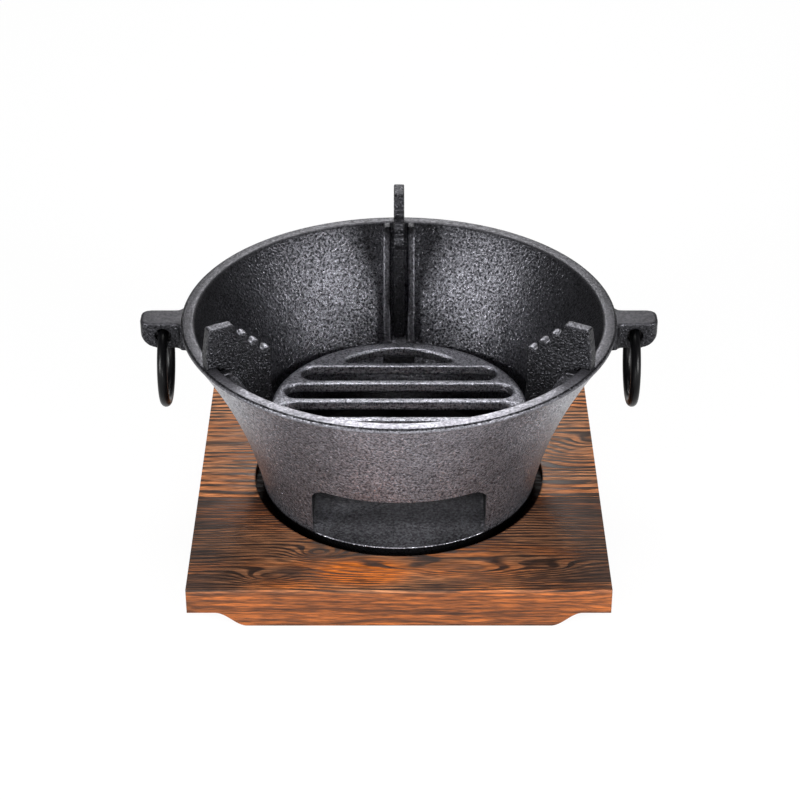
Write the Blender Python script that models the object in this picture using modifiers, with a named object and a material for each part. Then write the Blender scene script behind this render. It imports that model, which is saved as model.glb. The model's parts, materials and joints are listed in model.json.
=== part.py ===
"""Table hibachi grill: a flared cast-iron fire bowl that stands in a round recess of a plank base.

Metres, +Z up, origin at the middle of the base's underside. The bowl's draught vent faces -Y and
its two ears, with their ring handles, point along +X and -X. The fire grate and the three pot
supports lift out of the bowl, and the bowl lifts off the base.
"""
import math

import bmesh
import bpy
from mathutils import Matrix, Vector

MM = 0.001

# Wooden base: edge-glued planks with the grain along X and an undercut finger grip at each end
BASE_LENGTH = 240 * MM
BASE_HEIGHT = 25 * MM
FRONT_PLANK_WIDTH = 94 * MM
MIDDLE_PLANK_WIDTH = 101 * MM
REAR_PLANK_WIDTH = 45 * MM
PLANK_SEAM = 0.3 * MM
GRIP_HEIGHT = 9 * MM
GRIP_FLAT = 16 * MM
GRIP_COVE = 18 * MM
RECESS_DEPTH = 6 * MM
RECESS_MARGIN = 6 * MM

# Clearance between pieces that touch, and around pieces that lift out
SEAT_GAP = 0.3 * MM
LIFT_GAP = 0.5 * MM

# Bowl: foot to rim, with a wall that flares more steeply towards the top
BOWL_HEIGHT = 116 * MM
FOOT_RADIUS = 81.1 * MM
RIM_RADIUS = 126.6 * MM
FOOT_TAPER = 0.155
LIP_HEIGHT = 3 * MM
LIP_STEP = 0.6 * MM
RIM_WIDTH = 7.5 * MM
RIM_ROUND = 1.5 * MM
FOOT_WALL = 5 * MM
FLOOR_THICKNESS = 8 * MM
FOOT_ROUND = 1.5 * MM
BOWL_STEPS = 80
WALL_SAMPLES = 8

# Draught vent: an arched doorway through the front wall
VENT_WIDTH = 100 * MM
VENT_HEIGHT = 39 * MM
VENT_CORNER = 9 * MM
VENT_SILL = 0.6 * MM

# Ears and their ring handles
EAR_REACH = 23.9 * MM
EAR_DEPTH = 17 * MM
EAR_HEIGHT = 16.3 * MM
EAR_DROP = 1.7 * MM
EAR_CORNER = 12.5 * MM
EAR_EDGE = 2 * MM
EAR_HOLE_REACH = 10.6 * MM
EAR_HOLE_RISE = 8.1 * MM
RING_RADIUS = 23.3 * MM
RING_WIRE = 6 * MM

# Fire grate: a slotted disc
GRATE_RADIUS = 76.5 * MM
GRATE_THICKNESS = 6 * MM
GRATE_HEIGHT = 53.3 * MM
SLOT_COUNT = 5
SLOT_WIDTH = 15.5 * MM
SLOT_BAR = 5.5 * MM
SLOT_SHIFT = 3.6 * MM
GRATE_RING = 5.5 * MM
CRESCENT_RING = 7.8 * MM
CRESCENT_RADIUS = 48 * MM

# Pot supports: three plates, each held between two ribs on the inside of the wall
SUPPORT_AZIMUTHS = {"rear": 90.0, "left": 210.0, "right": 330.0}
SUPPORT_THICKNESS = 6.5 * MM
SUPPORT_RISE = 24.8 * MM
SUPPORT_SEAT = 15 * MM
SUPPORT_SETBACK = 1.6 * MM
SUPPORT_REACH = 40.6 * MM
SUPPORT_TAIL = 1.8 * MM
TOOTH_COUNT = 3
TOOTH_RADIUS = 3.5 * MM
TOOTH_PITCH = 9.6 * MM
TOOTH_ANGLE = 42.7
RIB_WIDTH = 5 * MM
RIB_DEPTH = 6.5 * MM
RIB_DROP = 1 * MM
RIB_RAMP = 3 * MM
CHANNEL_GAP = 2.7 * MM
BRACKET_LEDGE = 5 * MM
BRACKET_THICKNESS = 7 * MM
STOP_RISE = 4.5 * MM
STOP_MARGIN = 1.2 * MM

# Levels and radii that follow from the sizes above
RECESS_FLOOR = BASE_HEIGHT - RECESS_DEPTH
BOWL_FOOT = RECESS_FLOOR + SEAT_GAP
BOWL_RIM = BOWL_FOOT + BOWL_HEIGHT
ASH_FLOOR = BOWL_FOOT + FLOOR_THICKNESS
LIP_LEVEL = BOWL_RIM - LIP_HEIGHT
BASE_DEPTH = FRONT_PLANK_WIDTH + MIDDLE_PLANK_WIDTH + REAR_PLANK_WIDTH
GRATE_TOP = BOWL_FOOT + GRATE_HEIGHT
GRATE_BOTTOM = GRATE_TOP - GRATE_THICKNESS
LEDGE_LEVEL = GRATE_BOTTOM - SEAT_GAP
STOP_LEVEL = LEDGE_LEVEL + STOP_RISE
SUPPORT_TOP = BOWL_RIM + SUPPORT_RISE
EAR_TOP = BOWL_RIM - EAR_DROP
EAR_BOTTOM = EAR_TOP - EAR_HEIGHT
HOLE_X = RIM_RADIUS + EAR_HOLE_REACH
HOLE_Z = EAR_BOTTOM + EAR_HOLE_RISE
CHANNEL_HALF = SUPPORT_THICKNESS / 2 + CHANNEL_GAP

PARTS = bpy.data.collections.new("hibachi_grill")
CUTTERS = bpy.data.collections.new("hibachi_cutters")


def clear_scene():
    """Empty the scene and add the collections for the parts and for their cutters."""
    for old in list(bpy.data.objects):
        bpy.data.objects.remove(old, do_unlink=True)
    for collection in (PARTS, CUTTERS):
        bpy.context.scene.collection.children.link(collection)


def finish_material(name, colour, roughness, metallic):
    """A plain surface finish."""
    material = bpy.data.materials.new(name)
    material.use_nodes = True
    shader = material.node_tree.nodes["Principled BSDF"]
    shader.inputs["Base Color"].default_value = (*colour, 1.0)
    shader.inputs["Roughness"].default_value = roughness
    shader.inputs["Metallic"].default_value = metallic
    return material


def add_part(name, mesh, material):
    """One piece of the grill, shaded smooth up to its hard edges."""
    part = bpy.data.objects.new(name, mesh)
    part.data.materials.append(material)
    part.data.shade_smooth()
    part.data.set_sharp_from_angle(angle=math.radians(35))
    PARTS.objects.link(part)
    return part


def add_cutter(name, mesh):
    """A tool body that is cut from a piece or joined to it, and isn't a piece itself."""
    cutter = bpy.data.objects.new(name, mesh)
    cutter.hide_render = True
    cutter.display_type = "WIRE"
    CUTTERS.objects.link(cutter)
    return cutter


def combine(part, tool, operation):
    """Cut a tool body from a piece, or join it to the piece."""
    modifier = part.modifiers.new(tool.name, "BOOLEAN")
    modifier.operation = operation
    modifier.solver = "EXACT"
    modifier.object = tool


def arc(centre, radius, start, end, steps):
    """Points along an arc in a plane, from one angle in degrees to another."""
    points = []
    for step in range(steps + 1):
        angle = math.radians(start + (end - start) * step / steps)
        points.append((centre[0] + radius * math.cos(angle), centre[1] + radius * math.sin(angle)))
    return points


def plate_mesh(name, outlines, thickness):
    """A flat plate in XY, centred on z = 0: the first outline is its edge, the others its holes."""
    curve = bpy.data.curves.new(name, "CURVE")
    curve.dimensions = "2D"
    curve.fill_mode = "BOTH"
    curve.extrude = thickness / 2
    for outline in outlines:
        spline = curve.splines.new("POLY")
        spline.points.add(len(outline) - 1)
        for point, place in zip(spline.points, outline):
            point.co = (place[0], place[1], 0.0, 1.0)
        spline.use_cyclic_u = True
    drawing = bpy.data.objects.new(name, curve)
    CUTTERS.objects.link(drawing)
    bpy.context.view_layer.update()
    evaluated = drawing.evaluated_get(bpy.context.evaluated_depsgraph_get())
    mesh = bpy.data.meshes.new_from_object(evaluated)
    bpy.data.objects.remove(drawing, do_unlink=True)
    bpy.data.curves.remove(curve)
    shape = bmesh.new()
    shape.from_mesh(mesh)
    bmesh.ops.remove_doubles(shape, verts=shape.verts, dist=0.00001)
    bmesh.ops.recalc_face_normals(shape, faces=shape.faces)
    shape.to_mesh(mesh)
    shape.free()
    return mesh


def upright(mesh):
    """Stand a plate up: its drawing's Y becomes Z, and its thickness lies along Y."""
    mesh.transform(Matrix.Rotation(math.radians(90), 4, "X"))
    return mesh


def wall_radius(z):
    """Outer radius of the bowl's wall at a height, without the lip round its rim."""
    climb = LIP_LEVEL - BOWL_FOOT
    bow = (RIM_RADIUS - LIP_STEP - FOOT_RADIUS - FOOT_TAPER * climb) / climb ** 2
    height = z - BOWL_FOOT
    return FOOT_RADIUS + FOOT_TAPER * height + bow * height ** 2


def inner_radius(z):
    """Inner radius of the bowl's wall, which thickens steadily from the floor to the rim."""
    rim_wall = wall_radius(BOWL_RIM) - (RIM_RADIUS - RIM_WIDTH)
    share = (z - ASH_FLOOR) / (BOWL_RIM - ASH_FLOOR)
    return wall_radius(z) - FOOT_WALL - (rim_wall - FOOT_WALL) * share


def middle_radius(z):
    """Radius of the middle of the wall, in which what is joined to the wall ends."""
    return (wall_radius(z) + inner_radius(z)) / 2


def levels(low, high):
    """Heights spaced evenly from one level to another."""
    return [low + (high - low) * step / WALL_SAMPLES for step in range(WALL_SAMPLES + 1)]


def cylinder_mesh(name, radius, depth):
    """A plain cylinder along Z, centred on the origin."""
    shape = bmesh.new()
    bmesh.ops.create_cone(shape, cap_ends=True, segments=BOWL_STEPS, depth=depth,
                          radius1=radius, radius2=radius)
    mesh = bpy.data.meshes.new(name)
    shape.to_mesh(mesh)
    shape.free()
    return mesh


def block_mesh(name, size):
    """A plain block, centred on the origin."""
    shape = bmesh.new()
    bmesh.ops.create_cube(shape, size=1.0, matrix=Matrix.Diagonal((*size, 1.0)))
    mesh = bpy.data.meshes.new(name)
    shape.to_mesh(mesh)
    shape.free()
    return mesh


def grip_outline():
    """The undercut below the +X end of the base: flat at its mouth, then a cove down to the foot."""
    half = BASE_LENGTH / 2
    steps = 8
    points = [(half + GRIP_FLAT, -GRIP_HEIGHT), (half + GRIP_FLAT, GRIP_HEIGHT)]
    for step in range(steps + 1):
        share = step / steps
        height = GRIP_HEIGHT * (1 + math.cos(math.pi * share)) / 2
        points.append((half - GRIP_FLAT - GRIP_COVE * share, height))
    points.append((half - GRIP_FLAT - GRIP_COVE, -GRIP_HEIGHT))
    return points


def make_planks(material):
    """Three planks side by side, undercut at both ends, with the bowl's recess sunk across them."""
    recess_radius = FOOT_RADIUS + RECESS_MARGIN
    recess = add_cutter("recess", cylinder_mesh("recess", recess_radius, 2 * RECESS_DEPTH))
    recess.location.z = BASE_HEIGHT
    cutters = [recess]
    for side, turn in (("right", 0), ("left", 180)):
        grip = upright(plate_mesh(f"grip_{side}", [grip_outline()], 2 * BASE_DEPTH))
        cutters.append(add_cutter(f"grip_{side}", grip))
        cutters[-1].rotation_euler.z = math.radians(turn)
    front = -BASE_DEPTH / 2
    widths = {"front": FRONT_PLANK_WIDTH, "middle": MIDDLE_PLANK_WIDTH, "rear": REAR_PLANK_WIDTH}
    for place, width in widths.items():
        near = front + (0 if place == "front" else PLANK_SEAM / 2)
        far = front + width - (0 if place == "rear" else PLANK_SEAM / 2)
        name = f"base_plank_{place}"
        plank = add_part(name, block_mesh(name, (BASE_LENGTH, far - near, BASE_HEIGHT)), material)
        plank.location = (0, (near + far) / 2, BASE_HEIGHT / 2)
        for cutter in cutters:
            combine(plank, cutter, "DIFFERENCE")
        front += width


def bowl_profile():
    """Half section of the bowl: the ash floor from the axis, up the inside, over the rim and down."""
    points = [(0.0, ASH_FLOOR)]
    points += [(inner_radius(z), z) for z in levels(ASH_FLOOR, BOWL_RIM - RIM_ROUND)]
    inner_rim = RIM_RADIUS - RIM_WIDTH
    points += arc((inner_rim + RIM_ROUND, BOWL_RIM - RIM_ROUND), RIM_ROUND, 150, 90, 2)
    points += arc((RIM_RADIUS - RIM_ROUND, BOWL_RIM - RIM_ROUND), RIM_ROUND, 90, 0, 3)
    points.append((RIM_RADIUS, LIP_LEVEL))
    points += [(wall_radius(z), z) for z in reversed(levels(BOWL_FOOT + FOOT_ROUND, LIP_LEVEL))]
    points += [(FOOT_RADIUS - FOOT_ROUND, BOWL_FOOT), (0.0, BOWL_FOOT)]
    return points


def add_ears(bowl):
    """Join an ear to each side of the bowl and bore it across for its ring handle."""
    tip = RIM_RADIUS + EAR_REACH
    outline = [(middle_radius(EAR_BOTTOM), EAR_BOTTOM)]
    corner = min(EAR_CORNER, EAR_HEIGHT - EAR_EDGE)
    outline += arc((tip - corner, EAR_BOTTOM + corner), corner, -90, 0, 8)
    outline += [(tip, EAR_TOP), (middle_radius(EAR_TOP), EAR_TOP)]
    for side, turn in (("right", 0), ("left", 180)):
        ear = add_cutter(f"ear_{side}", upright(plate_mesh(f"ear_{side}", [outline], EAR_DEPTH)))
        ear.rotation_euler.z = math.radians(turn)
        edge = ear.modifiers.new("edge", "BEVEL")
        edge.width = EAR_EDGE
        edge.segments = 2
        edge.limit_method = "ANGLE"
        edge.angle_limit = math.radians(40)
        combine(bowl, ear, "UNION")
        circle = arc((HOLE_X, HOLE_Z), hole_radius(), 0, 360 - 15, 23)
        hole = add_cutter(f"hole_{side}", upright(plate_mesh(f"hole_{side}", [circle], 2 * EAR_DEPTH)))
        hole.rotation_euler.z = math.radians(turn)
        combine(bowl, hole, "DIFFERENCE")


def add_channels(bowl):
    """Join to the wall, for each pot support, two ribs, the grate's bracket and the stop behind it."""
    rib_top = BOWL_RIM - RIB_DROP
    bracket_bottom = LEDGE_LEVEL - BRACKET_THICKNESS
    heights = levels((bracket_bottom + LEDGE_LEVEL) / 2, rib_top - RIB_RAMP) + [rib_top]
    rib = [(middle_radius(z), z) for z in heights]
    for z in reversed(heights):
        depth = RIB_DEPTH * min(1.0, (rib_top - z) / RIB_RAMP)
        rib.append((inner_radius(z) - depth, z))
    nose = GRATE_RADIUS - BRACKET_LEDGE
    bracket = [(middle_radius(bracket_bottom), bracket_bottom), (middle_radius(LEDGE_LEVEL), LEDGE_LEVEL)]
    bracket += [(nose, LEDGE_LEVEL), (nose, bracket_bottom)]
    stop_foot = (bracket_bottom + LEDGE_LEVEL) / 2
    stop_nose = GRATE_RADIUS + STOP_MARGIN
    stop = [(middle_radius(stop_foot), stop_foot), (middle_radius(STOP_LEVEL), STOP_LEVEL)]
    stop += [(stop_nose, STOP_LEVEL), (stop_nose, stop_foot)]
    for place, azimuth in SUPPORT_AZIMUTHS.items():
        turn = Matrix.Rotation(math.radians(azimuth), 4, "Z")
        shelf = upright(plate_mesh(f"bracket_{place}", [bracket], 2 * CHANNEL_HALF + RIB_WIDTH))
        shelf.transform(turn)
        combine(bowl, add_cutter(f"bracket_{place}", shelf), "UNION")
        pad = upright(plate_mesh(f"stop_{place}", [stop], SUPPORT_THICKNESS))
        pad.transform(turn)
        combine(bowl, add_cutter(f"stop_{place}", pad), "UNION")
        for side, sign in (("a", 1), ("b", -1)):
            name = f"rib_{place}_{side}"
            bar = upright(plate_mesh(name, [rib], RIB_WIDTH))
            bar.transform(turn @ Matrix.Translation((0, sign * (CHANNEL_HALF + RIB_WIDTH / 2), 0)))
            combine(bowl, add_cutter(name, bar), "UNION")


def cut_vent(bowl):
    """Cut the arched draught vent through the front of the wall, down to the ash floor."""
    half = VENT_WIDTH / 2
    top = ASH_FLOOR + VENT_HEIGHT
    sill = ASH_FLOOR + VENT_SILL
    outline = [(half, sill)]
    outline += arc((half - VENT_CORNER, top - VENT_CORNER), VENT_CORNER, 0, 90, 4)
    outline += arc((VENT_CORNER - half, top - VENT_CORNER), VENT_CORNER, 90, 180, 4)
    outline.append((-half, sill))
    reach = RIM_RADIUS - half / 2
    vent = add_cutter("vent", upright(plate_mesh("vent", [outline], reach)))
    vent.location.y = -RIM_RADIUS + reach / 2
    combine(bowl, vent, "DIFFERENCE")


def make_bowl(material):
    """The one-piece casting: bowl, ears, support channels and draught vent."""
    section = bmesh.new()
    corners = [section.verts.new((x, 0, z)) for x, z in bowl_profile()]
    for start, end in zip(corners, corners[1:]):
        section.edges.new((start, end))
    mesh = bpy.data.meshes.new("fire_bowl")
    section.to_mesh(mesh)
    section.free()
    bowl = add_part("fire_bowl", mesh, material)
    turning = bowl.modifiers.new("turning", "SCREW")
    turning.steps = BOWL_STEPS
    turning.render_steps = BOWL_STEPS
    turning.use_merge_vertices = True
    turning.merge_threshold = 0.00001
    turning.use_normal_calculate = False
    add_channels(bowl)
    add_ears(bowl)
    cut_vent(bowl)


def ring_drop():
    """How far a ring's middle line falls away from straight within half the depth of its ear."""
    return RING_RADIUS - math.sqrt(RING_RADIUS ** 2 - (EAR_DEPTH / 2) ** 2)


def hole_radius():
    """Radius of an ear's hole: the bent wire turns in it with only the seat gap to spare."""
    slant = math.sqrt(1 - (EAR_DEPTH / 2 / RING_RADIUS) ** 2)
    return ring_drop() / 2 + RING_WIRE / 2 / slant + SEAT_GAP


def make_ring(side, sign, material):
    """A wire ring that hangs from its ear, with its origin on the axis of the ear's hole."""
    bpy.ops.mesh.primitive_torus_add(major_segments=40, minor_segments=10,
                                     major_radius=RING_RADIUS, minor_radius=RING_WIRE / 2)
    blank = bpy.context.object
    mesh = blank.data.copy()
    bpy.data.objects.remove(blank, do_unlink=True)
    mesh.transform(Matrix.Rotation(math.radians(90), 4, "Y"))
    mesh.transform(Matrix.Translation((0, 0, ring_drop() / 2 - RING_RADIUS)))
    ring = add_part(f"ring_handle_{side}", mesh, material)
    ring.location = (sign * HOLE_X, 0, HOLE_Z)


def slot_outline(offset, length):
    """A straight slot with round ends: its distance from the grate's middle and its half length."""
    reach = length - SLOT_WIDTH / 2
    right = arc((reach, offset), SLOT_WIDTH / 2, -90, 90, 8)
    left = arc((-reach, offset), SLOT_WIDTH / 2, 90, 270, 8)
    return right + left


def crescent_outline(chord, side):
    """The opening between the last straight bar and the ring, with blunt corners."""
    corner = SLOT_BAR / 2
    middle = GRATE_RADIUS - CRESCENT_RING - CRESCENT_RADIUS
    rise = chord + corner - middle
    half = math.sqrt((CRESCENT_RADIUS - corner) ** 2 - rise ** 2)
    spread = math.degrees(math.atan2(rise, half))
    points = arc((half, chord + corner), corner, -90, spread, 4)
    points += arc((0, middle), CRESCENT_RADIUS, spread, 180 - spread, 16)[1:-1]
    points += arc((-half, chord + corner), corner, 180 - spread, 270, 4)
    return [(x, side * y) for x, y in points]


def make_grate(material):
    """The lift-out disc that holds the charcoal: straight slots, set towards the vent, and crescents."""
    pitch = SLOT_WIDTH + SLOT_BAR
    opening = GRATE_RADIUS - GRATE_RING
    outlines = [arc((0, 0), GRATE_RADIUS, 0, 360 - 360 / BOWL_STEPS, BOWL_STEPS - 1)]
    for index in range(SLOT_COUNT):
        offset = (index - (SLOT_COUNT - 1) / 2) * pitch - SLOT_SHIFT
        outlines.append(slot_outline(offset, math.sqrt(opening ** 2 - offset ** 2)))
    for side in (1, -1):
        chord = SLOT_COUNT * pitch / 2 + SLOT_BAR / 2 - side * SLOT_SHIFT
        if GRATE_RADIUS - CRESCENT_RING - chord > 1.5 * SLOT_BAR:
            outlines.append(crescent_outline(chord, side))
    grate = add_part("fire_grate", plate_mesh("fire_grate", outlines, GRATE_THICKNESS), material)
    grate.location.z = GRATE_TOP - GRATE_THICKNESS / 2


def support_bottom(inner):
    """Where a support ends: the wall has closed in to the tail's width, or the stop is reached."""
    low = STOP_LEVEL + SEAT_GAP
    high = BOWL_RIM
    if inner_radius(low) - LIFT_GAP - inner >= SUPPORT_TAIL:
        return low
    while high - low > SEAT_GAP / 100:
        middle = (low + high) / 2
        if inner_radius(middle) - LIFT_GAP - inner < SUPPORT_TAIL:
            low = middle
        else:
            high = middle
    return high


def support_outline():
    """Side view of a pot support: pan seat, rounded teeth, inner edge, tail and wall edge."""
    slope = math.radians(TOOTH_ANGLE)
    along = Vector((math.cos(slope), math.sin(slope)))
    outer = RIM_RADIUS - SUPPORT_SETBACK
    inner = RIM_RADIUS - SUPPORT_REACH
    points = [(outer, SUPPORT_TOP), (outer - SUPPORT_SEAT, SUPPORT_TOP)]
    last = Vector((inner, BOWL_RIM + TOOTH_RADIUS / 2)) + along * TOOTH_RADIUS
    for index in reversed(range(TOOTH_COUNT)):
        points += arc(last + along * TOOTH_PITCH * index, TOOTH_RADIUS, TOOTH_ANGLE, TOOTH_ANGLE + 180, 8)
    bottom = support_bottom(inner)
    points.append((inner, bottom))
    points += [(inner_radius(z) - LIFT_GAP, z) for z in levels(bottom, BOWL_RIM - RIM_ROUND)]
    points += [(RIM_RADIUS - RIM_WIDTH - LIFT_GAP, BOWL_RIM + SEAT_GAP), (outer, BOWL_RIM + SEAT_GAP)]
    return points


def make_supports(material):
    """Three upright plates that hook over the rim and stand in the channels of the wall."""
    outline = support_outline()
    for place, azimuth in SUPPORT_AZIMUTHS.items():
        mesh = upright(plate_mesh(f"pot_support_{place}", [outline], SUPPORT_THICKNESS))
        support = add_part(f"pot_support_{place}", mesh, material)
        support.rotation_euler.z = math.radians(azimuth)


def main():
    """Build the grill."""
    clear_scene()
    torched_pine = finish_material("torched_pine", (0.30, 0.14, 0.07), 0.6, 0.0)
    cast_iron = finish_material("cast_iron", (0.12, 0.12, 0.13), 0.55, 0.6)
    black_wire = finish_material("black_wire", (0.01, 0.01, 0.01), 0.25, 0.3)
    make_planks(torched_pine)
    make_bowl(cast_iron)
    make_grate(cast_iron)
    make_supports(cast_iron)
    make_ring("right", 1, black_wire)
    make_ring("left", -1, black_wire)


main()
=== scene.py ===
"""A table hibachi: cast-iron fire bowl, grate, pot supports and ring handles on a torched plank base."""
import json
import math

import bmesh
import bpy
import numpy
from bpy.props import FloatProperty, FloatVectorProperty, IntProperty, PointerProperty
from mathutils import Matrix, Vector


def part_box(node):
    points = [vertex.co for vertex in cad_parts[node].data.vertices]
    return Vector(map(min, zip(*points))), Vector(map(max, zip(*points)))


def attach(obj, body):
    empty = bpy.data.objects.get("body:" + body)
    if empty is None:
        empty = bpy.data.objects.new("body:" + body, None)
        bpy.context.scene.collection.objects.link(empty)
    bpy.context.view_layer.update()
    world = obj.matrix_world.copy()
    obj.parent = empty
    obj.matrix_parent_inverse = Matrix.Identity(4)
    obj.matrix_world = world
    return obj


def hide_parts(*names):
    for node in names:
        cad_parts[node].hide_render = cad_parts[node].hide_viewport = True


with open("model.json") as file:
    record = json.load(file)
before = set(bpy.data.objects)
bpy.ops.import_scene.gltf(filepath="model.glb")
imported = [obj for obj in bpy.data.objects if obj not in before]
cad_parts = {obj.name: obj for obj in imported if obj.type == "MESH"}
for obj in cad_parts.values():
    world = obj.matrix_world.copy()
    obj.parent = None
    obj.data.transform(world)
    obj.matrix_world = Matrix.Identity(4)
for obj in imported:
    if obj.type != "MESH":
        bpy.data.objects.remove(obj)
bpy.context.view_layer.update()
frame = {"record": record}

bl_info = {
    "name": "Table Hibachi",
    "version": (1, 0, 0),
    "blender": (4, 5, 0),
    "location": "View3D > Sidebar > Hibachi",
    "description": "Builds a cast-iron table hibachi on its torched plank base",
    "category": "Add Mesh",
}

MM = 0.001
# Stands a flat drawing up, so that its Y becomes Z and its depth runs towards the vent.
UPRIGHT = Matrix.Rotation(math.pi / 2, 4, "X")
# A Mix node has sockets of one name for each kind of data. These are the places of its colours.
MIX_FIRST, MIX_SECOND, MIX_RESULT = 6, 7, 2
SMOOTH = {"interpolation_type": "SMOOTHSTEP"}


def corners(node):
    """The lowest and the highest corner of a CAD node."""
    return [Vector(corner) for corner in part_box(node)]


BOWL_LOW, BOWL_HIGH = corners("fire_bowl")
GRATE_LOW, GRATE_HIGH = corners("fire_grate")
SUPPORT_LOW, SUPPORT_HIGH = corners("pot_support_rear")


def linear(code):
    """The linear colour of an sRGB hex value."""
    channels = [int(code[i:i + 2], 16) / 255 for i in (1, 3, 5)]
    return tuple(c / 12.92 if c <= 0.04045 else ((c + 0.055) / 1.055) ** 2.4 for c in channels)


def length(name, description, millimetres):
    """A size that the sidebar shows in metres."""
    return FloatProperty(name=name, description=description, default=millimetres * MM,
                         min=0, unit="LENGTH", precision=4)


def colour(name, description, code):
    """A colour that the sidebar shows as a swatch."""
    return FloatVectorProperty(name=name, description=description, default=linear(code),
                               subtype="COLOR", size=3, min=0, max=1)


class HibachiBowlSettings(bpy.types.PropertyGroup):
    """Sizes of the fire bowl's casting."""
    foot_radius: length("Foot Radius", "Outer radius of the bowl at its foot", 81.1)
    rim_width: length("Rim Width", "Width of the rim's flat top", 7.5)
    lip_height: length("Lip Height", "Height of the raised band below the rim", 3.0)
    lip_step: length("Lip Step", "How far the band stands out from the wall", 0.6)
    edge_round: length("Edge Round", "Rounding of the cast edges", 1.5)
    rim_round: length("Rim Round", "Rounding of the rim's inner edge", 2.8)
    foot_wall: length("Foot Wall", "Thickness of the wall at the ash floor", 5.0)
    floor_thickness: length("Floor Thickness", "Thickness of the ash floor", 8.0)
    vent_width: length("Vent Width", "Width of the draught vent", 100.0)
    vent_height: length("Vent Height", "Height of the draught vent above the ash floor", 38.4)
    vent_corner: length("Vent Corner", "Rounding of the vent's upper corners", 9.0)
    ear_width: length("Ear Width", "Width of an ear along the rim", 17.0)
    ear_height: length("Ear Height", "Height of an ear at the wall", 16.3)
    ear_drop: length("Ear Drop", "How far an ear's top lies below the rim", 1.7)
    ear_fillet: length("Ear Fillet", "Fillet between an ear and the wall, seen from above", 4.5)
    hole_radius: length("Hole Radius", "Radius of the ring's hole in an ear", 4.33)
    rib_width: length("Rib Width", "Width of each rib of a support's channel", 4.8)
    rib_depth: length("Rib Depth", "How far a rib stands in from the wall", 6.5)
    channel_half: length("Channel Half Width", "Half the width of a support's channel", 5.1)
    bracket_ledge: length("Bracket Ledge", "How far a bracket reaches under the grate", 5.0)
    voxel: length("Casting Grain", "Cell size at which the ears' and ribs' edges are rounded", 0.7)
    taper: FloatProperty(name="Foot Taper", description="Outward slope of the wall at the foot",
                         default=0.155, min=0, max=1)


class HibachiGrateSettings(bpy.types.PropertyGroup):
    """Sizes of the fire grate."""
    slots: IntProperty(name="Slots", description="Number of straight slots", default=5, min=1, max=12)
    slot_width: length("Slot Width", "Width of a slot", 15.5)
    bar_width: length("Bar Width", "Width of a bar between two slots", 5.5)
    ring_width: length("Ring Width", "Width of the rim beyond the ends of the slots", 5.5)
    shift: length("Slot Shift", "How far the slots are set towards the vent", 3.6)
    crescent_ring: length("Crescent Ring", "Width of the rim outside the crescents", 7.8)
    crescent_radius: length("Crescent Radius", "Radius of the crescents' curved side", 48.0)
    voxel: length("Casting Grain", "Cell size at which the casting's edges are rounded", 0.8)


class HibachiSupportSettings(bpy.types.PropertyGroup):
    """Sizes of the three pot supports."""
    seat: length("Pan Seat", "Length of the flat on which a pan rests", 18.5)
    seat_round: length("Seat Round", "Rounding of the pan seat's inner corner", 3.0)
    tooth_radius: length("Tooth Radius", "Radius of a rounded tooth", 3.5)
    tooth_pitch: length("Tooth Pitch", "Distance between two teeth", 9.6)
    tooth_drop: length("Tooth Drop", "How far below the rim the row of teeth starts", 1.2)
    teeth: IntProperty(name="Teeth", description="Number of rounded teeth", default=3, min=1, max=6)
    slope: FloatProperty(name="Tooth Slope", description="Slope of the row of teeth",
                         default=math.radians(42.7), subtype="ANGLE", unit="ROTATION")
    lean: length("Lean", "How far the outer edge leans in at the pan seat", 2.6)
    rim_gap: length("Rim Gap", "Clearance between a support and the bowl's wall", 0.5)
    voxel: length("Casting Grain", "Cell size at which the casting's edges are rounded", 0.6)


class HibachiRingSettings(bpy.types.PropertyGroup):
    """Sizes of the ring handles."""
    wire: length("Wire", "Diameter of the ring's wire", 6.0)
    steps: IntProperty(name="Steps", description="Segments around a ring", default=144, min=24, max=512)


class HibachiBaseSettings(bpy.types.PropertyGroup):
    """Sizes of the plank base."""
    recess_depth: length("Recess Depth", "Depth of the round recess for the bowl", 6.0)
    recess_radius: length("Recess Radius", "Radius of the round recess for the bowl", 87.1)
    grip_height: length("Grip Height", "Height of the finger cove at each end", 9.0)
    grip_flat: length("Grip Flat", "Length of the cove's flat", 16.0)
    grip_cove: length("Grip Cove", "Length of the cove's curve down to the underside", 18.0)
    edge_round: length("Edge Round", "Rounding of the planks' edges", 0.7)


class HibachiFinishSettings(bpy.types.PropertyGroup):
    """Colours of the finishes."""
    iron_pit: colour("Iron Pits", "Colour in the sand-cast iron's pits", "#27272b")
    iron_peak: colour("Iron Peaks", "Colour on the sand-cast iron's grains", "#75757b")
    iron_ground: colour("Ground Iron", "Colour of the iron's smoother faces", "#525155")
    wire_black: colour("Wire Black", "Colour of the rings' black paint", "#060607")
    wood_early: colour("Earlywood", "Colour of the torched wood between its grain lines", "#9c6844")
    wood_warm: colour("Warm Wood", "Colour of the wood where the torch left it brightest", "#b65c06")
    wood_edge: colour("Edge Wood", "Colour of the brushed wood on the planks' sides", "#6b3813")
    wood_late: colour("Latewood", "Colour of the wood's grain lines", "#21150f")
    wood_char: colour("Char", "Colour of the most burnt wood", "#33221a")


class HibachiStageSettings(bpy.types.PropertyGroup):
    """The studio floor, light and camera."""
    floor: colour("Floor", "Colour of the floor", "#f4f4f4")
    target: FloatVectorProperty(name="Target", description="Point the camera looks at",
                                default=(0.0006, 0, 0.0768), subtype="TRANSLATION", unit="LENGTH", size=3)
    pitch: FloatProperty(name="Pitch", description="How far the camera looks down",
                         default=math.radians(31.38), subtype="ANGLE", unit="ROTATION")
    distance: length("Distance", "Distance of the camera from its target", 1303.0)
    lens: FloatProperty(name="Lens", description="Focal length in millimetres", default=98.4, min=1)


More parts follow.
